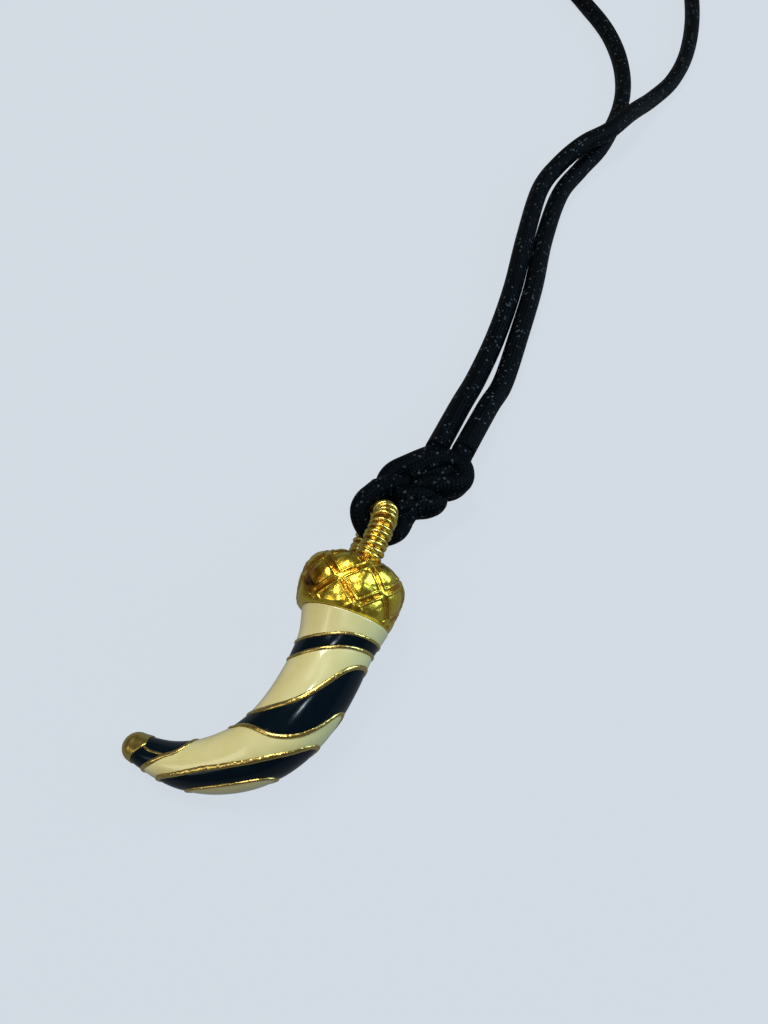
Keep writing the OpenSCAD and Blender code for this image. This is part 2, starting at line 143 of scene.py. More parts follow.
def cord_piece(name, path, radius, sides, material):
    """Round cord along a path, with a map that gives the turn round it and the millimetres along it."""
    ahead, side = carried_sides(path)
    other = np.cross(ahead, side)
    turn = 2 * np.pi * np.arange(sides) / sides
    rings = path[:, None] + radius * (
        side[:, None] * np.cos(turn)[:, None] + other[:, None] * np.sin(turn)[:, None])
    rows = len(path)
    faces = ring_quads(rows, sides) + end_fans(rows, sides)
    piece = new_piece(name, np.vstack([rings.reshape(-1, 3), path[0], path[-1]]), faces, material)
    run = run_of(path)
    corners = []
    for i in range(rows - 1):
        for j in range(sides):
            u, v = (j / sides, (j + 1) / sides), (run[i], run[i + 1])
            corners += [u[0], v[0], u[1], v[0], u[1], v[1], u[0], v[1]]
    for j in range(sides):
        corners += [(j + 0.5) / sides, run[0], (j + 1) / sides, run[0], j / sides, run[0]]
        corners += [(j + 0.5) / sides, run[-1], j / sides, run[-1], (j + 1) / sides, run[-1]]
    piece.data.uv_layers.new(name="braid").data.foreach_set("uv", corners)
    return piece


def placed(tree, kind, inputs=None, **settings):
    """A new node of a tree. Each input is given a value or is joined to another node's output."""
    node = tree.nodes.new(kind)
    for name, value in settings.items():
        setattr(node, name, value)
    for name, value in (inputs or {}).items():
        if isinstance(value, bpy.types.NodeSocket):
            tree.links.new(value, node.inputs[name])
        else:
            node.inputs[name].default_value = value
    return node


def worked(tree, kind, *values):
    """Result of a math node."""
    return placed(tree, "ShaderNodeMath", dict(enumerate(values)), operation=kind).outputs[0]


def new_finish(name, shine):
    """A material, its tree and its shader, with the shader's plain sockets set."""
    material = bpy.data.materials.new(name)
    material.use_nodes = True
    shader = material.node_tree.nodes["Principled BSDF"]
    for socket, value in shine.items():
        shader.inputs[socket].default_value = value
    return material, material.node_tree, shader


def effect_group(name, inputs, outputs):
    """An empty shader group with named sockets, and its nodes for input and output."""
    group = bpy.data.node_groups.new(name, "ShaderNodeTree")
    kinds = {"Color": "NodeSocketColor"}
    for socket in inputs:
        group.interface.new_socket(socket, in_out="INPUT", socket_type=kinds.get(socket, "NodeSocketFloat"))
    for socket in outputs:
        group.interface.new_socket(socket, in_out="OUTPUT", socket_type=kinds.get(socket, "NodeSocketFloat"))
    return group, group.nodes.new("NodeGroupInput"), group.nodes.new("NodeGroupOutput")


# Painted highlights on the cord's threads: the share of threads that get one, how soft its edge is, and how
# bright it is.
PAINTED_GLINT_FROM = 0.93
PAINTED_GLINT_EDGE = 0.03
PAINTED_GLINT_GAIN = 5.0


def satin_braid_group():
    """Threads that cross over and under each other round a cord, with a painted highlight on a few of them.
    """
    group, given, result = effect_group("satin_braid", ["Threads", "Per mm"], ["Light", "Height"])
    across = placed(group, "ShaderNodeSeparateXYZ", {0: group.nodes.new("ShaderNodeUVMap").outputs[0]})
    round_it = worked(group, "MULTIPLY", across.outputs[0], given.outputs["Threads"])
    along_it = worked(group, "MULTIPLY", across.outputs[1], given.outputs["Per mm"])
    rising = worked(group, "ADD", round_it, along_it)
    falling = worked(group, "SUBTRACT", round_it, along_it)
    cells = [worked(group, "FLOOR", family) for family in (rising, falling)]
    ridges = [
        worked(group, "SINE", worked(group, "MULTIPLY", worked(group, "FRACT", family), math.pi))
        for family in (rising, falling)
    ]
    over = worked(group, "PINGPONG", worked(group, "ADD", *cells), 1.0)
    lower = worked(group, "MULTIPLY", ridges[0], over)
    upper = worked(group, "MULTIPLY", ridges[1], worked(group, "SUBTRACT", 1.0, over))
    height = worked(group, "ADD", lower, upper)
    group.links.new(height, result.inputs["Height"])
    place = placed(group, "ShaderNodeCombineXYZ", {0: cells[0], 1: cells[1]})
    luck = placed(group, "ShaderNodeTexWhiteNoise", {"Vector": place.outputs[0]}, noise_dimensions="3D")
    above = worked(group, "SUBTRACT", luck.outputs["Value"], PAINTED_GLINT_FROM)
    bright = worked(group, "SMOOTH_MAX", above, 0.0, PAINTED_GLINT_EDGE)
    light = worked(group, "MULTIPLY", bright, worked(group, "MULTIPLY", height, PAINTED_GLINT_GAIN))
    group.links.new(light, result.inputs["Light"])
    return group


satin_braid = satin_braid_group()


def satin_finish(name, threads, per_mm):
    """Black satin braid, with fine painted highlights on single threads."""
    material, tree, shader = new_finish(name, {
        "Roughness": 0.45, "Specular IOR Level": 0.06, "Specular Tint": (0.5, 0.75, 1.0, 1)})
    braid = placed(tree, "ShaderNodeGroup", node_tree=satin_braid)
    braid.inputs["Threads"].default_value = threads
    braid.inputs["Per mm"].default_value = per_mm
    # The base colour turns pale blue on the flecked threads: a painted highlight.
    colour = placed(tree, "ShaderNodeMix", {
        "Factor": braid.outputs["Light"], "A": (0.0004, 0.0008, 0.0014, 1), "B": (0.20, 0.25, 0.31, 1)},
        data_type="RGBA")
    tree.links.new(colour.outputs["Result"], shader.inputs["Base Color"])
    bump = placed(tree, "ShaderNodeBump", {"Height": braid.outputs["Height"], "Strength": 0.6,
                                           "Distance": 0.00012})
    tree.links.new(bump.outputs[0], shader.inputs["Normal"])
    return material


BRAID_THREADS = 20
BRAID_PER_MM = 2.0
cord_satin = satin_finish("cord_satin", BRAID_THREADS, BRAID_PER_MM)
cord_path = evenly(smooth_curve(CORD_ROUTE, CURVE_STEPS), CORD_PITCH)
neck_cord = cord_piece("neck_cord", cord_path, CORD_D / 2, CORD_SIDES, cord_satin)
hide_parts("cord")
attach(neck_cord, "root")

# Turn through the bail: the same cord, drawn tight where it goes through the bail's eye.
TIGHT_D = 2.7
EYE_ROUTE = [
    (14.3, 20.8, 8.9), (13.4, 19.8, 9.1), (12.3, 18.6, 9.2), (11.7, 17.1, 9.0), (12.0, 15.5, 8.6),
    (12.9, 14.3, 8.0), (14.4, 13.8, 7.4), (15.9, 14.2, 7.0), (17.0, 15.1, 6.7), (17.7, 16.6, 6.2),
]
STRAND_PITCH = 0.35
eye_path = evenly(smooth_curve(EYE_ROUTE, CURVE_STEPS), STRAND_PITCH)
eye_turn = cord_piece("eye_turn", eye_path, TIGHT_D / 2, CORD_SIDES, cord_satin)
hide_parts("cord_eye")
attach(eye_turn, "root")

# Knot: an overhand knot tied in the doubled cord close above the bail. Each of its turns lies with
# its twin below it, and both halves of the cord and of the turn through the bail end inside it. The
# heart and the foot fill it where the turns leave a hollow.
KNOT_TURNS = {
    "right": [(19.6, 22.2, 5.4), (21.6, 22.9, 6.0), (24.7, 22.9, 5.7), (26.4, 24.4, 5.3), (26.2, 26.5, 5.4),
              (24.0, 27.5, 5.6), (21.0, 26.6, 5.8), (18.8, 24.6, 5.2)],
    "left": [(23.1, 29.0, 4.8), (21.2, 27.7, 5.7), (18.6, 26.2, 6.0), (16.4, 25.0, 5.8), (15.5, 23.4, 5.5),
             (16.6, 21.7, 5.5), (19.3, 21.0, 5.8), (21.6, 22.0, 5.2)],
    "low": [(16.9, 18.9, 5.4), (18.8, 19.6, 5.2), (20.9, 19.8, 5.0), (22.4, 20.9, 4.6), (22.4, 23.0, 4.2)],
    "right twin": [(20.4, 24.2, 2.5), (22.0, 24.3, 2.5), (24.7, 24.2, 2.5), (26.2, 25.4, 2.5),
                   (26.1, 27.0, 2.6), (24.2, 28.2, 2.7), (21.2, 27.4, 2.6)],
    "left twin": [(23.0, 28.8, 3.0), (20.6, 27.9, 2.7), (18.0, 26.8, 2.6), (16.2, 25.4, 2.6),
                  (16.4, 23.8, 2.5), (18.2, 22.6, 2.5), (20.6, 23.0, 2.5)],
    "low twin": [(17.8, 21.0, 2.6), (19.4, 21.0, 2.5), (21.0, 21.4, 2.4), (22.2, 22.6, 2.4),
                 (22.0, 24.6, 2.4)],
    "left half": [(22.9, 30.0, 4.9), (22.1, 27.8, 4.6), (20.4, 24.8, 4.3), (18.6, 22.2, 4.4)],
    "right half": [(26.9, 29.7, 4.9), (26.0, 27.6, 4.6), (24.2, 25.0, 4.3), (21.6, 22.8, 4.3)],
    "heart": [(20.6, 24.4, 4.6), (22.8, 25.0, 4.9), (25.0, 25.8, 4.6)],
    "foot": [(12.9, 20.6, 4.7), (14.8, 21.4, 4.6), (18.8, 22.6, 4.4)],
}
EYE_TURNS = {
    "left end": [(13.9, 20.4, 9.0), (14.9, 21.4, 8.3), (16.2, 22.6, 7.0), (18.0, 23.6, 5.8)],
    "right end": [(17.4, 15.9, 6.4), (18.0, 17.4, 5.9), (19.0, 19.2, 5.3), (20.2, 21.0, 4.8)],
}
KNOT_EASE = 0.04


def joined(name, pieces):
    """Several pieces made one."""
    with bpy.context.temp_override(active_object=pieces[0], selected_editable_objects=pieces,
                                   selected_objects=pieces, object=pieces[0]):
        bpy.ops.object.join()
    pieces[0].name = name
    return pieces[0]


knot = joined("overhand_knot", [
    cord_piece("strand", evenly(smooth_curve(turn, CURVE_STEPS), STRAND_PITCH), (thick - KNOT_EASE) / 2,
               CORD_SIDES, cord_satin)
    for turns, thick in ((KNOT_TURNS, CORD_D), (EYE_TURNS, TIGHT_D)) for turn in turns.values()
])
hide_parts("knot")
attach(knot, "root")

# Horn: a cast gold horn that bends to a short tip. Its shape is worked out in the pendant's own
# frame, from the cap's rim down, and the pendant is then laid on its side as it rests.
HORN_LEN = 35.2
NECK_R = 4.6
COLLAR_R = 5.8
BEND = 93
NECK_LEAN = 5
LEAN_BY = 0.1
NECK_OUT = 0.5
HORN = np.array([
    # share of length, share of bend, share of the neck's width, share of the collar's flare
    (0.00, 0.00, 1.00, 1.00),
    (0.05, -0.01, 1.00, 0.60),
    (0.10, -0.02, 1.01, 0.23),
    (0.20, 0.03, 1.03, 0.02),
    (0.30, 0.10, 1.02, 0.00),
    (0.40, 0.21, 0.99, 0.00),
    (0.50, 0.36, 0.93, 0.00),
    (0.60, 0.53, 0.84, 0.00),
    (0.70, 0.66, 0.73, 0.00),
    (0.80, 0.80, 0.61, 0.00),
    (0.90, 0.93, 0.48, 0.00),
    (1.00, 1.00, 0.37, 0.00),
])


def smooth_value(table, column, x):
    """Smooth value of a table's column at the places x along its first column."""
    xs, ys = table[:, 0], table[:, column]
    rows = np.arange(len(xs))
    before, after = np.maximum(rows - 1, 0), np.minimum(rows + 1, len(xs) - 1)
    slopes = (ys[after] - ys[before]) / (xs[after] - xs[before])
    i = np.clip(np.searchsorted(xs, x, "right") - 1, 0, len(xs) - 2)
    h = xs[i + 1] - xs[i]
    u = (x - xs[i]) / h
    return (ys[i] * (1 + 2 * u) * (1 - u) ** 2 + ys[i + 1] * u**2 * (3 - 2 * u)
            + h * u * (1 - u) * (slopes[i] * (1 - u) - slopes[i + 1] * u))


def horn_heading(s):
    s = np.clip(s, 0, 1)
    return np.radians(NECK_LEAN * np.minimum(s / LEAN_BY, 1) + BEND * smooth_value(HORN, 1, s))


def horn_radius(s):
    s = np.clip(s, 0, 1)
    return NECK_R * smooth_value(HORN, 2, s) + (COLLAR_R - NECK_R) * smooth_value(HORN, 3, s)


PATH_STEPS = 480
path_shares = np.linspace(0, 1, PATH_STEPS + 1)
step_heading = horn_heading((path_shares[1:] + path_shares[:-1]) / 2)
horn_x = NECK_OUT - np.r_[0, np.cumsum(np.sin(step_heading))] * HORN_LEN / PATH_STEPS
horn_y = -np.r_[0, np.cumsum(np.cos(step_heading))] * HORN_LEN / PATH_STEPS


def horn_point(s, turn, proud=0.0):
    """Point of the horn's skin at a share of its length and a turn round it, 0 outside the bend."""
    s, turn = np.asarray(s, float), np.asarray(turn, float)
    heading, radius = horn_heading(s), horn_radius(s) + proud
    x = np.interp(s, path_shares, horn_x) + np.cos(heading) * radius * np.cos(turn)
    y = np.interp(s, path_shares, horn_y) - np.sin(heading) * radius * np.cos(turn)
    return np.stack([x, y, radius * np.sin(turn)], -1)


def horn_outward(s, turn):
    """Direction square to the horn's skin, leaving out its taper."""
    heading = horn_heading(s)
    return np.stack([np.cos(heading) * np.cos(turn), -np.sin(heading) * np.cos(turn), np.sin(turn)], -1)


# Rest: the pendant lies on the cap's swell, the outside of the bend and the tip.
CAP_W = 13.2
CAP_H = 8.2
SWELL_AT = 0.55
BAND_RISE = 0.35
LINE_RISE = 0.12
BELLY_AT = 0.6
REST_STEPS = 24
NECK_AT = (9.5, 2.1)
LIE_TURN = -18


def middle_of(s):
    return np.interp(s, path_shares, horn_x), np.interp(s, path_shares, horn_y)


rest_cap = np.array([0, SWELL_AT * CAP_H, CAP_W / 2 + BAND_RISE])
rest_belly = np.array([*middle_of(BELLY_AT), horn_radius(BELLY_AT) + LINE_RISE])
rest_tip = np.array([*middle_of(1), horn_radius(1) + LINE_RISE])
side_b, side_t = rest_belly - rest_cap, rest_tip - rest_cap
rest_det = side_b[0] * side_t[1] - side_b[1] * side_t[0]
up_x = (side_b[2] * side_t[1] - side_b[1] * side_t[2]) / rest_det
up_y = (side_b[0] * side_t[2] - side_b[2] * side_t[0]) / rest_det
skin_shares = np.linspace(0, 1, REST_STEPS + 1)
skin_x, skin_y = middle_of(skin_shares)
skin_low = horn_radius(skin_shares) + LINE_RISE - skin_x * up_x - skin_y * up_y
lift = max(rest_cap[2] - rest_cap[0] * up_x - rest_cap[1] * up_y, skin_low.max())
LAID = (Matrix.Translation((*NECK_AT, lift)) @ Matrix.Rotation(math.radians(LIE_TURN), 4, "Z")
        @ Matrix.Rotation(math.acos(math.sqrt(1 - up_x**2 - up_y**2)), 4, Vector((up_y, -up_x, 0))))
laid_turn = np.array(LAID.to_3x3())


def laid(points):
    """Points of the pendant's own frame where they lie."""
    return np.asarray(points) @ laid_turn.T + np.array(LAID.translation)


# Gold lines: each is given along the horn, 0 at the rim and 1 at the tip, and across it, -1 inside
# the bend and 1 outside it. The first six go right round the horn, and the keel's two are loops.
RING_TOP = [(1.25, 0.046), (0.60, 0.06), (0.00, 0.092), (-0.74, 0.133), (-1.25, 0.15)]
RING_LOW = [(1.25, 0.08), (0.56, 0.107), (-0.15, 0.155), (-0.75, 0.205), (-1.25, 0.225)]
SWEEP_TOP = [(1.25, 0.12), (1.00, 0.136), (0.73, 0.175), (0.41, 0.255), (0.08, 0.325), (-0.35, 0.395),
             (-0.75, 0.465), (-1.25, 0.56)]
SWEEP_LOW = [(1.25, 0.23), (1.00, 0.285), (0.86, 0.345), (0.65, 0.40), (0.26, 0.45), (-0.34, 0.495),
             (-0.68, 0.54), (-0.90, 0.60), (-1.25, 0.66)]
TIP_LINE = [(1.30, 0.94), (0.75, 0.925), (-0.10, 0.865), (-0.41, 0.818), (-0.78, 0.782), (-1.30, 0.76)]
TIP_GOLD = [(1.30, 1.00), (0.60, 0.993), (0.03, 0.975), (-0.45, 0.96), (-1.30, 0.985)]
KEEL_TOP = [(0.36, 1.25), (0.395, 1.00), (0.445, 0.80), (0.505, 0.56), (0.578, 0.37), (0.64, 0.28),
            (0.71, 0.25), (0.777, 0.40), (0.858, 0.79), (0.885, 1.30)]
KEEL_LOW = [(0.47, 1.30), (0.53, 0.97), (0.60, 0.83), (0.69, 0.81), (0.768, 0.95), (0.83, 1.30)]
LINE_PITCH = 0.12
LOOP_PLACES = 721
KEEL_STEPS = 60


def share_at(line, across):
    """Share of the horn's length at which a line that goes right round it lies."""
    smooth = smooth_curve(line, CURVE_STEPS)[::-1]
    return np.interp(across, smooth[:, 0], smooth[:, 1])


def across_at(line, share):
    """How far across the horn a loop of the keel lies."""
    smooth = smooth_curve(line, CURVE_STEPS)
    return np.interp(share, smooth[:, 0], smooth[:, 1], left=2, right=2)


def round_loop(line):
    turn = np.linspace(0, 2 * np.pi, LOOP_PLACES)
    return np.column_stack([share_at(line, np.cos(turn)), turn])


def keel_loop(line):
    smooth = smooth_curve(line, KEEL_STEPS)
    front = smooth[smooth[:, 1] < 1]
    front = np.column_stack([front[:, 0], np.arccos(front[:, 1])])
    back = front[::-1] * (1, -1)
    return np.vstack([front, back, front[:1]])


def on_skin(loop):
    """A line's places spread evenly over the horn's skin."""
    run = run_of(horn_point(loop[:, 0], loop[:, 1]))
    places = np.linspace(0, run[-1], round(run[-1] / LINE_PITCH) + 1)
    return np.column_stack([np.interp(places, run, loop[:, k]) for k in (0, 1)])


ROUND_LINES = {"ring_top": RING_TOP, "ring_low": RING_LOW, "sweep_top": SWEEP_TOP, "sweep_low": SWEEP_LOW,
               "tip_line": TIP_LINE, "tip_gold": TIP_GOLD}
KEEL_LINES = {"keel_top": KEEL_TOP, "keel_low": KEEL_LOW}
loops = {name: on_skin(round_loop(line)) for name, line in ROUND_LINES.items()}
loops.update({name: on_skin(keel_loop(line)) for name, line in KEEL_LINES.items()})

# Enamel: glass powder in ivory and in black, fired in the cells between the gold lines and polished.
# Each cell's glass is a little pillowed, and dips towards the gold at its edges.
SKIN_ROWS = 260
SKIN_COLUMNS = 180
ENAMEL_T = 0.5
UNDER_LINE = 0.1
EDGE_DIP = 0.07
EDGE_REACH = 0.35
skin_share = np.linspace(0, 1, SKIN_ROWS + 1)[:, None] + np.zeros(SKIN_COLUMNS)
skin_turn = 2 * np.pi * np.arange(SKIN_COLUMNS) / SKIN_COLUMNS + np.zeros((SKIN_ROWS + 1, 1))
skin_points = horn_point(skin_share, skin_turn).reshape(-1, 3)
skin_out = horn_outward(skin_share, skin_turn).reshape(-1, 3)


def from_line(name):
    """Distance over the skin from a gold line, more than nothing towards the tip or inside a loop."""
    near = kdtree.KDTree(len(loops[name]))
    for k, point in enumerate(horn_point(loops[name][:, 0], loops[name][:, 1])):
        near.insert(point, k)
    near.balance()
    far = np.array([near.find(point)[2] for point in skin_points])
    across = np.cos(skin_turn)
    if name in KEEL_LINES:
        beyond = across - across_at(KEEL_LINES[name], skin_share)
    else:
        beyond = skin_share - share_at(ROUND_LINES[name], across)
    return far * np.sign(beyond.reshape(-1))


past = {name: from_line(name) for name in loops}


def enamel_cell(name, inside, material):
    """One cell's glass: the part of the horn's skin where inside is more than a hidden edge's width."""
    inside = inside - UNDER_LINE
    dip = EDGE_DIP * np.exp(-np.maximum(inside, 0) / EDGE_REACH)
    points = [tuple(p) for p in skin_points - skin_out * dip[:, None]]
    faces, between = [], {}

    def crossing(a, b):
        key = (min(a, b), max(a, b))
        if key not in between:
            u = inside[a] / (inside[a] - inside[b])
            between[key] = len(points)
            points.append(tuple(np.array(points[a]) * (1 - u) + np.array(points[b]) * u))
        return between[key]

    for quad in ring_quads(SKIN_ROWS + 1, SKIN_COLUMNS):
        kept = [inside[v] > 0 for v in quad]
        if all(kept):
            faces.append(tuple(quad))
        elif any(kept):
            corners = []
            for v, w, here, there in zip(quad, quad[1:] + quad[:1], kept, kept[1:] + kept[:1]):
                if here:
                    corners.append(v)
                if here != there:
                    corners.append(crossing(v, w))
            faces.append(tuple(corners))
    used = sorted({v for face in faces for v in face})
    place = {v: k for k, v in enumerate(used)}
    piece = new_piece(name, laid([points[v] for v in used]),
                      [tuple(place[v] for v in face) for face in faces], material)
    wall = piece.modifiers.new("glass depth", "SOLIDIFY")
    wall.thickness = ENAMEL_T * MM
    wall.offset = -1
    return piece


def fired_enamel_group():
    """Faint clouds in fired glass, and the slight waves of its polished surface."""
    group, given, result = effect_group("fired_enamel", ["Cloud size", "Wave size"], ["Cloud", "Height"])
    where = group.nodes.new("ShaderNodeTexCoord").outputs["Object"]
    cloud = placed(group, "ShaderNodeTexNoise", {"Vector": where, "Detail": 3.0, "Roughness": 0.55})
    wave = placed(group, "ShaderNodeTexNoise", {"Vector": where, "Detail": 1.0, "Roughness": 0.4})
    group.links.new(given.outputs["Cloud size"], cloud.inputs["Scale"])
    group.links.new(given.outputs["Wave size"], wave.inputs["Scale"])
    group.links.new(cloud.outputs["Fac"], result.inputs["Cloud"])
    group.links.new(wave.outputs["Fac"], result.inputs["Height"])
    return group


fired_enamel = fired_enamel_group()
CLOUDS_PER_M = 260
WAVES_PER_M = 420


def enamel_finish(name, deep, pale, shine):
    """Glossy enamel that clouds between two colours."""
    material, tree, shader = new_finish(name, shine)
    glass = placed(tree, "ShaderNodeGroup", node_tree=fired_enamel)
    glass.inputs["Cloud size"].default_value = CLOUDS_PER_M
    glass.inputs["Wave size"].default_value = WAVES_PER_M
    colour = placed(tree, "ShaderNodeMix", {"Factor": glass.outputs["Cloud"], "A": deep, "B": pale},
                    data_type="RGBA")
    tree.links.new(colour.outputs["Result"], shader.inputs["Base Color"])
    bump = placed(tree, "ShaderNodeBump", {"Height": glass.outputs["Height"], "Strength": 0.35,
                                           "Distance": 0.0001})
    tree.links.new(bump.outputs[0], shader.inputs["Normal"])
    return material


ivory = enamel_finish("ivory_enamel", (0.64, 0.57, 0.22, 1), (0.80, 0.76, 0.42, 1),
                      {"Roughness": 0.3, "Coat Weight": 1.0, "Coat Roughness": 0.1,
                       "Subsurface Weight": 0.08, "Subsurface Radius": (0.0012, 0.0009, 0.0005)})
black = enamel_finish("black_enamel", (0.0005, 0.002, 0.004, 1), (0.001, 0.007, 0.014, 1),
                      {"Roughness": 0.18, "Specular IOR Level": 0.2, "Specular Tint": (0.62, 0.8, 1.0, 1),
                       "Coat Weight": 0.08, "Coat Roughness": 0.08})

cells = {
    "cream_collar": (-past["ring_top"], ivory),
    "black_ring": (np.minimum(past["ring_top"], -past["ring_low"]), black),
    "cream_upper": (np.minimum(past["ring_low"], -past["sweep_top"]), ivory),
    "black_sweep": (np.minimum(past["sweep_top"], -past["sweep_low"]), black),
    "cream_lower": (np.minimum(np.minimum(past["sweep_low"], -past["tip_line"]), -past["keel_top"]), ivory),
    "black_keel": (np.minimum(past["keel_top"], -past["keel_low"]), black),
    "cream_belly": (past["keel_low"], ivory),
    "black_tip": (np.minimum(past["tip_line"], -past["tip_gold"]), black),
}
for node, (inside, glaze) in cells.items():
    cell = enamel_cell(node + "_glass", inside, glaze)
    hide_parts(node)
    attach(cell, "root")


# Cast gold: warm polished plate over a casting that is dented and pitted all over. The recesses
# keep a brown patina, the deepest marked ones are painted near black, and the raised parts are rubbed bright.
def cast_gold_group():
    """Dents and grain of cast metal, the patina that stays in its recesses, and how far the deepest are
    painted near black.
    """
    group, given, result = effect_group("cast_gold", ["Dents", "Grain"],
                                        ["Patina", "Dark", "Roughness", "Height"])
    where = group.nodes.new("ShaderNodeTexCoord").outputs["Object"]
    recess = placed(group, "ShaderNodeAttribute", attribute_name="recess")
    dents = placed(group, "ShaderNodeTexNoise", {"Vector": where, "Detail": 2.0, "Roughness": 0.5})
    grain = placed(group, "ShaderNodeTexNoise", {"Vector": where, "Detail": 4.0, "Roughness": 0.6})
    group.links.new(given.outputs["Dents"], dents.inputs["Scale"])
    group.links.new(given.outputs["Grain"], grain.inputs["Scale"])
    spread = worked(group, "MULTIPLY", worked(group, "SUBTRACT", grain.outputs["Fac"], 0.5), 1.2)
    patina = worked(group, "ADD", recess.outputs["Fac"], spread)
    clamped = placed(group, "ShaderNodeMapRange", {"Value": patina, "From Min": 0.35, "From Max": 1.0})
    group.links.new(clamped.outputs["Result"], result.inputs["Patina"])
    deep_patina_and_shade = placed(group, "ShaderNodeMapRange", {"Value": patina, "From Min": 1.3, "From Max": 1.9})
    group.links.new(deep_patina_and_shade.outputs["Result"], result.inputs["Dark"])
    rough = worked(group, "MULTIPLY_ADD", grain.outputs["Fac"], 0.3, 0.12)
    group.links.new(rough, result.inputs["Roughness"])
    height = worked(group, "MULTIPLY_ADD", grain.outputs["Fac"], 0.25, dents.outputs["Fac"])
    group.links.new(height, result.inputs["Height"])
    return group


cast_gold = cast_gold_group()


def gold_finish(name, bright, dents, grain, depth):
    """Polished gold of the given colour, with dents and grain of the given sizes."""
    material, tree, shader = new_finish(name, {"Metallic": 1.0})
    cast = placed(tree, "ShaderNodeGroup", node_tree=cast_gold)
    cast.inputs["Dents"].default_value = dents
    cast.inputs["Grain"].default_value = grain
    colour = placed(tree, "ShaderNodeMix", {"Factor": cast.outputs["Patina"], "A": bright,
                                            "B": (0.50, 0.22, 0.014, 1)}, data_type="RGBA")
    # Where the recess is marked deepest the gold is painted near black: painted shade between the bail's
    # ribs, and a dark patch on the cap.
    aged = placed(tree, "ShaderNodeMix", {"Factor": cast.outputs["Dark"], "A": colour.outputs["Result"],
                                          "B": (0.06, 0.03, 0.01, 1)}, data_type="RGBA")
    tree.links.new(aged.outputs["Result"], shader.inputs["Base Color"])
    tree.links.new(cast.outputs["Roughness"], shader.inputs["Roughness"])
    bump = placed(tree, "ShaderNodeBump", {"Height": cast.outputs["Height"], "Strength": 0.8,
                                           "Distance": depth})
    tree.links.new(bump.outputs[0], shader.inputs["Normal"])
    return material


# Horn of gold: the casting under the glass, its raised lines and its rounded gold tip.
line_gold = gold_finish("line_gold", (0.60, 0.46, 0.15, 1), 1000, 2600, 0.00012)
tip_gold = gold_finish("tip_gold", (0.60, 0.46, 0.13, 1), 420, 1500, 0.00008)
CORE_IN = 0.45
CORE_ROWS = 60
CORE_COLUMNS = 48
LINE_W = 0.65
LINE_SUNK = 0.06
LINE_ROUGH = 0.12
TIP_COLUMNS = 64
TIP_ROWS = 8
TIP_STEPS = 14


def cast_horn():
    """The horn under the glass, closed at the rim and at the tip."""
    s = np.linspace(0, 1, CORE_ROWS)[:, None] + np.zeros(CORE_COLUMNS)
    turn = 2 * np.pi * np.arange(CORE_COLUMNS) / CORE_COLUMNS + np.zeros((CORE_ROWS, 1))
    rows = horn_point(s, turn, -CORE_IN)
    points = np.vstack([rows.reshape(-1, 3), [*middle_of(0), 0], [*middle_of(1), 0]])
    faces = ring_quads(CORE_ROWS, CORE_COLUMNS) + end_fans(CORE_ROWS, CORE_COLUMNS)
    return new_piece("cast_horn", laid(points), faces, line_gold)


def gold_tip():
    """Gold cap of the tip, from its line to the rounded end."""
    turn = 2 * np.pi * np.arange(TIP_COLUMNS) / TIP_COLUMNS
    start = share_at(TIP_GOLD, np.cos(turn)) - LINE_W / 2 / HORN_LEN
    rows = [horn_point(start, turn, -CORE_IN)]
    rows += [horn_point(start + (1 - start) * k / TIP_ROWS, turn, LINE_RISE) for k in range(TIP_ROWS + 1)]
    end, heading = np.array([*middle_of(1), 0]), horn_heading(1.0)
    ahead = np.array([-math.sin(heading), -math.cos(heading), 0])
    radius = horn_radius(1.0) + LINE_RISE
    rim = horn_point(np.ones(TIP_COLUMNS), turn, LINE_RISE) - end
    for k in range(1, TIP_STEPS):
        a = math.pi / 2 * k / TIP_STEPS
        rows.append(end + rim * math.cos(a) + ahead * radius * math.sin(a))
    points = np.vstack([np.array(rows).reshape(-1, 3), end - ahead, end + ahead * radius])
    faces = ring_quads(len(rows), TIP_COLUMNS) + end_fans(len(rows), TIP_COLUMNS)
    return new_piece("gold_tip", laid(points), faces, tip_gold)


def shape_tree(name, inputs):
    """An empty Geometry Nodes tree with named inputs, and its nodes for input and output."""
    tree = bpy.data.node_groups.new(name, "GeometryNodeTree")
    for socket, kind in {"Geometry": "Geometry", **inputs, "Gold": "Material"}.items():
        tree.interface.new_socket(socket, in_out="INPUT", socket_type="NodeSocket" + kind)
    tree.interface.new_socket("Geometry", in_out="OUTPUT", socket_type="NodeSocketGeometry")
    return tree, tree.nodes.new("NodeGroupInput"), tree.nodes.new("NodeGroupOutput")


def pushed_out(tree, geometry, push):
    """The geometry with each of its points moved along its normal."""
    normal = tree.nodes.new("GeometryNodeInputNormal")
    shift = placed(tree, "ShaderNodeVectorMath", {0: normal.outputs[0], "Scale": push}, operation="SCALE")
    return placed(tree, "GeometryNodeSetPosition", {"Geometry": geometry, "Offset": shift.outputs[0]})


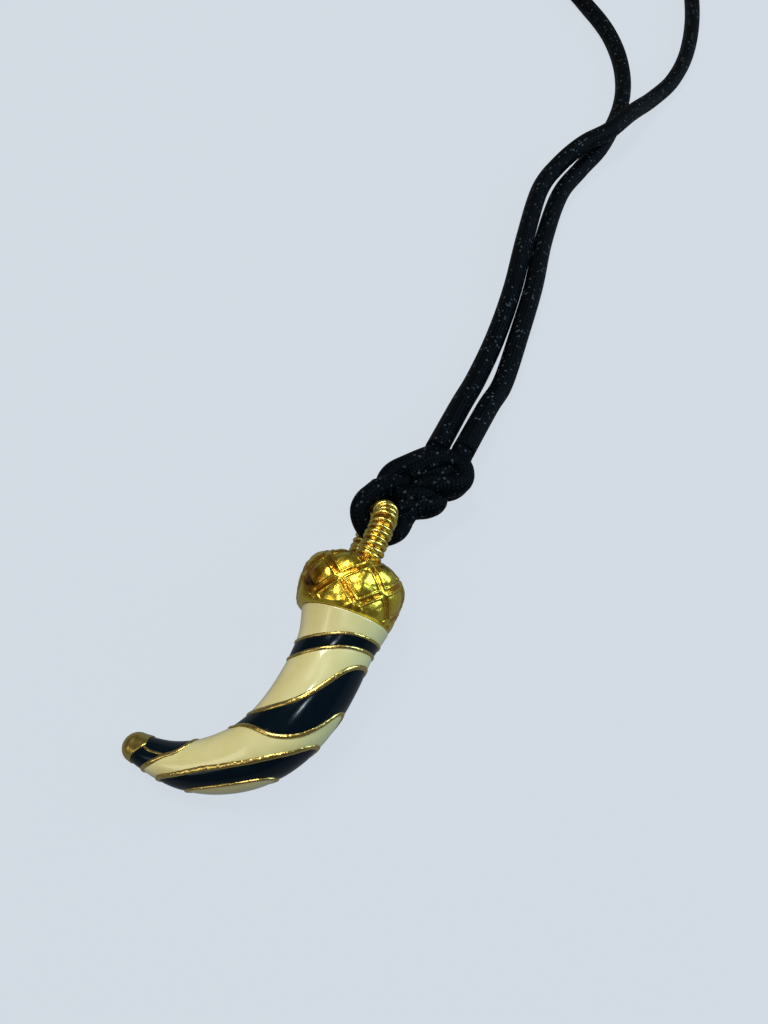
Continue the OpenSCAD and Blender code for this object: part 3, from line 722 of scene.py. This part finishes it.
def raised_line_tree():
    """Geometry Nodes: an uneven raised line along a path that carries its direction outward."""
    tree, given, result = shape_tree("raised_line", {"Width": "Float", "Rise": "Float", "Uneven": "Float",
                                                     "Seed": "Float"})
    outward = placed(tree, "GeometryNodeInputNamedAttribute", {"Name": "outward"}, data_type="FLOAT_VECTOR")
    path = placed(tree, "GeometryNodeMeshToCurve", {"Mesh": given.outputs["Geometry"]})
    faced = placed(tree, "GeometryNodeSetCurveNormal", {"Curve": path.outputs[0],
                                                        "Normal": outward.outputs["Attribute"]}, mode="FREE")
    lumps = placed(tree, "ShaderNodeTexNoise", {"W": given.outputs["Seed"], "Scale": 900.0, "Detail": 2.0},
                   noise_dimensions="4D")
    swing = worked(tree, "SUBTRACT", lumps.outputs["Fac"], 0.5)
    swing = worked(tree, "MULTIPLY", swing, given.outputs["Uneven"])
    thick = placed(tree, "GeometryNodeSetCurveRadius", {"Curve": faced.outputs[0],
                                                        "Radius": worked(tree, "ADD", swing, 1.0)})
    circle = placed(tree, "GeometryNodeCurvePrimitiveCircle", {"Resolution": 12, "Radius": 1.0})
    size = placed(tree, "ShaderNodeCombineXYZ", {"X": given.outputs["Rise"],
                                                 "Y": worked(tree, "MULTIPLY", given.outputs["Width"], 0.5),
                                                 "Z": 1.0})
    section = placed(tree, "GeometryNodeTransform", {"Geometry": circle.outputs[0], "Scale": size.outputs[0]})
    line = placed(tree, "GeometryNodeCurveToMesh", {"Curve": thick.outputs[0],
                                                    "Profile Curve": section.outputs[0], "Fill Caps": True})
    grains = placed(tree, "ShaderNodeTexNoise", {"W": given.outputs["Seed"], "Scale": 2200.0, "Detail": 1.0},
                    noise_dimensions="4D")
    push = worked(tree, "MULTIPLY", worked(tree, "SUBTRACT", grains.outputs["Fac"], 0.5),
                  worked(tree, "MULTIPLY", given.outputs["Uneven"], LINE_ROUGH * MM))
    pushed = pushed_out(tree, line.outputs[0], push)
    smooth = placed(tree, "GeometryNodeSetShadeSmooth", {"Geometry": pushed.outputs[0]})
    real = placed(tree, "GeometryNodeRealizeInstances", {"Geometry": smooth.outputs[0]})
    painted = placed(tree, "GeometryNodeSetMaterial", {"Geometry": real.outputs[0],
                                                       "Material": given.outputs["Gold"]})
    tree.links.new(painted.outputs[0], result.inputs["Geometry"])
    return tree


def grown(name, points, edges, attributes, tree, sizes):
    """Plain mesh that a Geometry Nodes tree makes from points in millimetres."""
    mesh = bpy.data.meshes.new(name)
    mesh.from_pydata((np.asarray(points) * MM).tolist(), edges, [])
    for attribute, values in attributes.items():
        mesh.attributes.new(attribute, "FLOAT_VECTOR", "POINT").data.foreach_set("vector", np.ravel(values))
    seed = bpy.data.objects.new(name + "_path", mesh)
    bpy.context.scene.collection.objects.link(seed)
    nodes = seed.modifiers.new("nodes", "NODES")
    nodes.node_group = tree
    for item in tree.interface.items_tree:
        if item.in_out == "INPUT" and item.name in sizes:
            nodes[item.identifier] = sizes[item.name]
    evaluated = seed.evaluated_get(bpy.context.evaluated_depsgraph_get())
    piece = bpy.data.objects.new(name, bpy.data.meshes.new_from_object(evaluated))
    bpy.context.scene.collection.objects.link(piece)
    bpy.data.objects.remove(seed)
    return piece


raised_line = raised_line_tree()
LINE_SIZES = {
    # width in millimetres, and how uneven it is
    "ring_top": (0.42, 0.8), "ring_low": (0.48, 0.8), "sweep_top": (0.66, 0.6), "sweep_low": (0.58, 0.6),
    "tip_line": (0.58, 0.6), "keel_top": (0.66, 1.3), "keel_low": (0.42, 0.7),
}
# A thin raised gold line runs over the black of the tip, on the side that shows only; it stands in for a
# streak of highlight there, a painted highlight in gold.
TIP_HIGHLIGHT_LINE = [(0.965, -0.40), (0.948, -0.29), (0.925, -0.20), (0.888, -0.22), (0.865, -0.22)]
HIGHLIGHT_LINE_STEPS = 8
HIGHLIGHT_LINE_W = 0.3
HIGHLIGHT_LINE_UNEVEN = 0.5
HIGHLIGHT_LINE_SEED = 9


def gold_line(name, places, edges, width, rise, uneven, seed):
    """Raised line of gold through places on the horn's skin."""
    outward = horn_outward(places[:, 0], places[:, 1]) @ laid_turn.T
    return grown(name, laid(horn_point(places[:, 0], places[:, 1], -LINE_SUNK)), edges,
                 {"outward": outward}, raised_line,
                 {"Width": width * MM, "Rise": rise * MM, "Uneven": uneven, "Seed": float(seed),
                  "Gold": line_gold})


gold_parts = [cast_horn(), gold_tip()]
for seed, (name, (width, uneven)) in enumerate(LINE_SIZES.items()):
    loop = loops[name][:-1]
    count = len(loop)
    gold_parts.append(gold_line(name, loop, [(k, (k + 1) % count) for k in range(count)], width,
                                LINE_RISE + LINE_SUNK, uneven, seed))
# The tip's painted highlight: a gold line along the streak where the black catches the light.
highlight_line = smooth_curve(TIP_HIGHLIGHT_LINE, HIGHLIGHT_LINE_STEPS)
highlight_line = np.column_stack([highlight_line[:, 0], np.arccos(highlight_line[:, 1])])
gold_parts.append(gold_line("tip_highlight_line", highlight_line, [(k, k + 1) for k in range(len(highlight_line) - 1)], HIGHLIGHT_LINE_W,
                            LINE_RISE, HIGHLIGHT_LINE_UNEVEN, HIGHLIGHT_LINE_SEED))
gold_horn = joined("gold_horn", gold_parts)
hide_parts("horn_core")
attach(gold_horn, "root")

# Cap: one gold casting, quilted with diamonds. Raised bands with two sharp edges cross in rows, and
# the cushions between them are hammered; a blotchy patch near the cap's left is darker in colour. It sits on
# the horn's peg.
RIM_W = 11.7
SHOULDER = 2.3
QUILT_RISE = 5.4
QUILT_COUNT = 7
QUILT_START = 0.9
QUILT_PHASE = 27
PUFF = 0.4
PUFF_ROUND = 0.6
BAND_W = 1.1
BAND_SOFT = 0.05
CHANNEL_RISE = 0.18
CHANNEL_PATINA = 1.15
EDGE_RISE = 0.17
EDGE_IN = 0.14
EDGE_W = 0.11
BEAD_RISE = 0.1
BEAD_W = 0.45
SEAM_OUT = 0.1
SEAM_W = 0.12
SEAM_PATINA = 0.6
SEAT_GAP = 0.1
SOCKET_R = 2.6
SOCKET_H = 4.6
DARK_PATCH_AT = (6.6, 5.7, 11.2)
DARK_PATCH_R = 1.7
DARK_PATCH_DEPTH = 1.7
DARK_PATCH_BLOTCH = 0.9
DARK_PATCH_REACH = 3.2
LUMP_RISE = 0.07
LOWEST_ROW = 0.02
TOP_PLAIN = 0.5
TOP_RISE = 0.02
FADE_END = 1.2
FADE_RUN = 2.4
RIM_FADE = 0.5
RIM_IN = 0.08
LUMPS_PER_MM = 0.9
FINE_LUMPS_PER_MM = 2.1
OUTLINE_STEPS = 400
CAP_COLUMNS = 360
CAP_ROWS = 130
cap_gold = gold_finish("cap_gold", (0.78, 0.60, 0.07, 1), 700, 2600, 0.00013)


def cap_outline():
    """Height and radius of the cap from its rim to its top."""
    u = np.linspace(0, 1, OUTLINE_STEPS)
    a = np.pi / 2 * np.clip((u - SWELL_AT) / (1 - SWELL_AT), 0, 1)
    low = u < SWELL_AT
    height = np.where(low, CAP_H * u, CAP_H * (SWELL_AT + (1 - SWELL_AT) * np.sin(a) ** (2 / SHOULDER)))
    flare = (CAP_W - RIM_W) / 2 * (1 - np.minimum(u / SWELL_AT, 1)) ** 2
    radius = np.where(low, CAP_W / 2 - flare, CAP_W / 2 * np.maximum(np.cos(a), 0) ** (2 / SHOULDER))
    return np.column_stack([height, radius])


def quilted(run, turn, radius):
    """Rise of the quilting over the cap, and how deep each place lies in its recesses."""
    around = turn * QUILT_COUNT / (2 * np.pi)
    up = (run - QUILT_START) / QUILT_RISE
    families = around + up, around - up
    scale = np.sqrt((QUILT_COUNT / (2 * np.pi * radius)) ** 2 + QUILT_RISE**-2)
    off = [np.abs(f - np.round(f)) / scale for f in families]
    near, far = np.minimum(*off), np.maximum(*off)
    half = BAND_W / 2
    band = 1 / (1 + np.exp((near - half) / BAND_SOFT))
    edges = np.exp(-(((near - half + EDGE_IN) / EDGE_W) ** 2))
    crossing = np.exp(-((far / BEAD_W) ** 2)) * band
    cushion = PUFF * np.abs(np.sin(np.pi * families[0]) * np.sin(np.pi * families[1])) ** PUFF_ROUND
    rise = band * (CHANNEL_RISE + EDGE_RISE * edges) + (1 - band) * cushion + BEAD_RISE * crossing
    seam = np.exp(-(((near - half - SEAM_OUT) / SEAM_W) ** 2))
    recess = np.clip(band * (CHANNEL_PATINA - edges) + SEAM_PATINA * seam, 0, 1)
    return rise, recess * (1 - crossing)


def quilted_cap():
    outline = cap_outline()
    run = run_of(outline)
    rows = np.linspace(LOWEST_ROW, run[-1] - TOP_PLAIN, CAP_ROWS)
    height = np.interp(rows, run, outline[:, 0])[:, None] + np.zeros(CAP_COLUMNS)
    radius = np.interp(rows, run, outline[:, 1])[:, None] + np.zeros(CAP_COLUMNS)
    turn = 2 * np.pi * np.arange(CAP_COLUMNS) / CAP_COLUMNS + np.zeros((CAP_ROWS, 1))
    rise, recess = quilted(rows[:, None], turn, radius)
    fade = np.clip((run[-1] - FADE_END - rows) / FADE_RUN, 0, 1) * np.clip(rows / RIM_FADE, 0, 1)
    fade = fade[:, None]
    slope = np.gradient(outline, run, axis=0)
    out_y = -np.interp(rows, run, slope[:, 1])[:, None]
    out_r = np.interp(rows, run, slope[:, 0])[:, None]
    facing = turn + math.radians(QUILT_PHASE)
    base = np.stack([radius * np.sin(facing), SEAT_GAP + height, radius * np.cos(facing)], -1)
    out = np.stack([out_r * np.sin(facing), out_y + 0 * facing, out_r * np.cos(facing)], -1)
    lumps = np.array([
        noise.noise(Vector(p) * LUMPS_PER_MM) + 0.5 * noise.noise(Vector(p) * FINE_LUMPS_PER_MM)
        for p in base.reshape(-1, 3)]).reshape(rise.shape)
    skin = base + out * (rise * fade + LUMP_RISE * lumps)[..., None]
    flat = np.stack([np.sin(facing[0]), 0 * facing[0], np.cos(facing[0])], -1)
    lift_y = np.array([0, 1.0, 0])
    rings = [flat * SOCKET_R + lift_y * (SEAT_GAP + SOCKET_H), flat * SOCKET_R + lift_y * SEAT_GAP,
             flat * (RIM_W / 2 - RIM_IN) + lift_y * SEAT_GAP, *skin]
    points = np.vstack([np.array(rings).reshape(-1, 3), lift_y * (SEAT_GAP + SOCKET_H),
                        lift_y * (SEAT_GAP + CAP_H + TOP_RISE)])
    piece = new_piece("quilted_cap", laid(points),
                      ring_quads(len(rings), CAP_COLUMNS) + end_fans(len(rings), CAP_COLUMNS), cap_gold)
    # A blotchy patch near the cap's left is darkened in colour only; the shape has no pits there.
    away = np.linalg.norm(laid(base.reshape(-1, 3)) - DARK_PATCH_AT, axis=1).reshape(rise.shape)
    dark_patch = DARK_PATCH_DEPTH * np.exp(-((away / DARK_PATCH_R) ** 2)) + DARK_PATCH_BLOTCH * lumps * (away < DARK_PATCH_REACH)
    depth = np.r_[np.zeros(3 * CAP_COLUMNS), (recess * fade + np.maximum(dark_patch, 0)).ravel(), 0, 0]
    piece.data.attributes.new("recess", "FLOAT", "POINT").data.foreach_set("value", depth)
    return piece


# Bail: an arch of thick wire with cast ribs round it, soldered to the cap's top by both feet.
BAIL_WIRE = 3.6
EYE_W = 4.0
BAIL_REACH = 3.8
BAIL_TURN = 28
BAIL_LEAN = 4
RIB_PITCH = 0.8
RIB_DEPTH = 0.3
RIB_TILT = 0.13
RIB_ROUGH = 0.16
# How deep the wire between the ribs is marked: brown patina, darkened to near black as painted shade.
GROOVE_PATINA_AND_SHADE = 1.5
ARCH_STEPS = 60
FOOT_IN = 0.3
bail_gold = gold_finish("bail_gold", (0.70, 0.55, 0.13, 1), 1300, 3600, 0.00014)
bail_bend = (EYE_W + BAIL_WIRE) / 2
bail_leg = BAIL_REACH + FOOT_IN * CAP_H
BAIL = (Matrix.Translation((0, SEAT_GAP + CAP_H, 0)) @ Matrix.Rotation(math.radians(-BAIL_LEAN), 4, "Z")
        @ Matrix.Rotation(math.radians(BAIL_TURN), 4, "Y") @ Matrix.Translation((0, BAIL_REACH, 0)))


def bail_path(pitch):
    """Middle of the bail's wire, from one foot over the arch to the other."""
    arch = np.linspace(0, np.pi, ARCH_STEPS)
    path = np.vstack([[(0, -bail_leg, -bail_bend)],
                      np.column_stack([0 * arch, bail_bend * np.sin(arch), -bail_bend * np.cos(arch)]),
                      [(0, -bail_leg, bail_bend)]])
    turned = path @ np.array(BAIL.to_3x3()).T + np.array(BAIL.translation)
    return evenly(turned, pitch)


def ribbed_wire_tree():
    """Geometry Nodes: a wire along a path with a rib round it at every point."""
    tree, given, result = shape_tree("ribbed_wire", {"Wire": "Float", "Rib": "Float", "Seed": "Int"})
    wire_r = worked(tree, "MULTIPLY", given.outputs["Wire"], 0.5)
    ring_r = worked(tree, "SUBTRACT", wire_r, given.outputs["Rib"])
    path = placed(tree, "GeometryNodeMeshToCurve", {"Mesh": given.outputs["Geometry"]})
    round_wire = placed(tree, "GeometryNodeCurvePrimitiveCircle", {"Resolution": 28, "Radius": ring_r})
    core = placed(tree, "GeometryNodeCurveToMesh", {
        "Curve": path.outputs[0], "Profile Curve": round_wire.outputs[0], "Fill Caps": True})
    round_rib = placed(tree, "GeometryNodeCurvePrimitiveCircle", {"Resolution": 32, "Radius": ring_r})
    rib_wire = placed(tree, "GeometryNodeCurvePrimitiveCircle", {"Resolution": 10,
                                                                 "Radius": given.outputs["Rib"]})
    rib = placed(tree, "GeometryNodeCurveToMesh", {"Curve": round_rib.outputs[0],
                                                   "Profile Curve": rib_wire.outputs[0]})
    along = placed(tree, "GeometryNodeInputNamedAttribute", {"Name": "along"}, data_type="FLOAT_VECTOR")
    aimed = placed(tree, "FunctionNodeAlignRotationToVector", {"Vector": along.outputs["Attribute"]},
                   axis="Z")
    wobble = placed(tree, "FunctionNodeRandomValue", {
        "Min": (-RIB_TILT, -RIB_TILT, 0.0), "Max": (RIB_TILT, RIB_TILT, 6.0),
        "Seed": given.outputs["Seed"]}, data_type="FLOAT_VECTOR")
    turned = placed(tree, "FunctionNodeRotateRotation", {"Rotation": aimed.outputs[0],
                                                         "Rotate By": wobble.outputs[0]},
                    rotation_space="LOCAL")
    girth = placed(tree, "FunctionNodeRandomValue", {
        "Min": (0.95, 0.95, 0.8), "Max": (1.02, 1.02, 1.25), "Seed": given.outputs["Seed"]},
        data_type="FLOAT_VECTOR")
    dots = placed(tree, "GeometryNodeMeshToPoints", {"Mesh": given.outputs["Geometry"]})
    ribs = placed(tree, "GeometryNodeInstanceOnPoints", {
        "Points": dots.outputs[0], "Instance": rib.outputs[0], "Rotation": turned.outputs[0],
        "Scale": girth.outputs[0]})
    # The wire seen between the ribs gets brown patina and near-black painted shade.
    grooved = placed(tree, "GeometryNodeStoreNamedAttribute", {"Geometry": core.outputs[0], "Name": "recess",
                                                               "Value": GROOVE_PATINA_AND_SHADE}, data_type="FLOAT")
    whole = placed(tree, "GeometryNodeJoinGeometry")
    tree.links.new(grooved.outputs[0], whole.inputs[0])
    tree.links.new(ribs.outputs[0], whole.inputs[0])
    real = placed(tree, "GeometryNodeRealizeInstances", {"Geometry": whole.outputs[0]})
    lumps = placed(tree, "ShaderNodeTexNoise", {"Scale": 1500.0, "Detail": 1.0}, noise_dimensions="3D")
    push = worked(tree, "MULTIPLY", worked(tree, "SUBTRACT", lumps.outputs["Fac"], 0.5), RIB_ROUGH * MM)
    pushed = pushed_out(tree, real.outputs[0], push)
    smooth = placed(tree, "GeometryNodeSetShadeSmooth", {"Geometry": pushed.outputs[0]})
    painted = placed(tree, "GeometryNodeSetMaterial", {"Geometry": smooth.outputs[0],
                                                       "Material": given.outputs["Gold"]})
    tree.links.new(painted.outputs[0], result.inputs["Geometry"])
    return tree


rib_path = bail_path(RIB_PITCH)
rib_ahead = unit(np.gradient(rib_path, axis=0)) @ laid_turn.T
bail = grown("ribbed_bail", laid(rib_path), [(k, k + 1) for k in range(len(rib_path) - 1)],
             {"along": rib_ahead}, ribbed_wire_tree(),
             {"Wire": BAIL_WIRE * MM, "Rib": RIB_DEPTH * MM, "Seed": 4, "Gold": bail_gold})
gold_cap = joined("gold_cap", [quilted_cap(), bail])
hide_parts("cap")
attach(gold_cap, "root")

# Floor: a plain pale surface, a little cool, lit so evenly that nothing shades it.
floor_paint, floor_tree, floor_shader = new_finish("pale_floor", {
    "Base Color": (0.04, 0.043, 0.047, 1), "Roughness": 0.9, "Specular IOR Level": 0.0,
    "Emission Color": (0.624, 0.677, 0.740, 1)})
FLOOR_GLOW = 0.28
SEEN_GLOW = 0.7
seen = placed(floor_tree, "ShaderNodeLightPath").outputs["Is Camera Ray"]
glow = worked(floor_tree, "MULTIPLY_ADD", seen, SEEN_GLOW, FLOOR_GLOW)
floor_tree.links.new(glow, floor_shader.inputs["Emission Strength"])
floor_mesh = bpy.data.meshes.new("floor")
FLOOR_HALF = 3.0
floor_mesh.from_pydata([(x * FLOOR_HALF, y * FLOOR_HALF, 0) for x, y in ((-1, -1), (1, -1), (1, 1), (-1, 1))],
                       [], [(0, 1, 2, 3)])
floor_mesh.materials.append(floor_paint)
floor = bpy.data.objects.new("floor", floor_mesh)
bpy.context.scene.collection.objects.link(floor)


# Light: a wide soft panel overhead, a cool one on the right, a warm one on the left, a small one in
# front, and a dim room.
def panel(name, place, aim, size, power, colour):
    """Soft light panel that faces a point."""
    light = bpy.data.lights.new(name, "AREA")
    light.shape = "RECTANGLE"
    light.size, light.size_y = size
    light.energy = power
    light.color = colour
    lamp = bpy.data.objects.new(name, light)
    lamp.location = place
    lamp.rotation_euler = (Vector(aim) - Vector(place)).to_track_quat("-Z", "Y").to_euler()
    lamp.visible_camera = False
    bpy.context.scene.collection.objects.link(lamp)


PENDANT_MIDDLE = (0.005, 0.0, 0.006)
panel("overhead_panel", (-0.10, 0.25, 0.62), (0.01, 0.03, 0), (0.30, 0.22), 2.6, (1.0, 0.96, 0.88))
panel("right_panel", (0.55, 0.10, 0.30), PENDANT_MIDDLE, (0.30, 0.40), 2.7, (0.55, 0.82, 1.0))
panel("left_panel", (-0.45, -0.20, 0.40), PENDANT_MIDDLE, (0.25, 0.30), 0.5, (1.0, 0.92, 0.78))
panel("small_panel", (0.02, -0.10, 0.40), PENDANT_MIDDLE, (0.035, 0.035), 0.22, (1.0, 0.95, 0.85))
room = bpy.data.worlds.new("dim_room")
room.use_nodes = True
room.node_tree.nodes["Background"].inputs["Color"].default_value = (0.10, 0.095, 0.085, 1)
room.node_tree.nodes["Background"].inputs["Strength"].default_value = 1.0
bpy.context.scene.world = room
bpy.context.scene.view_settings.view_transform = "Standard"
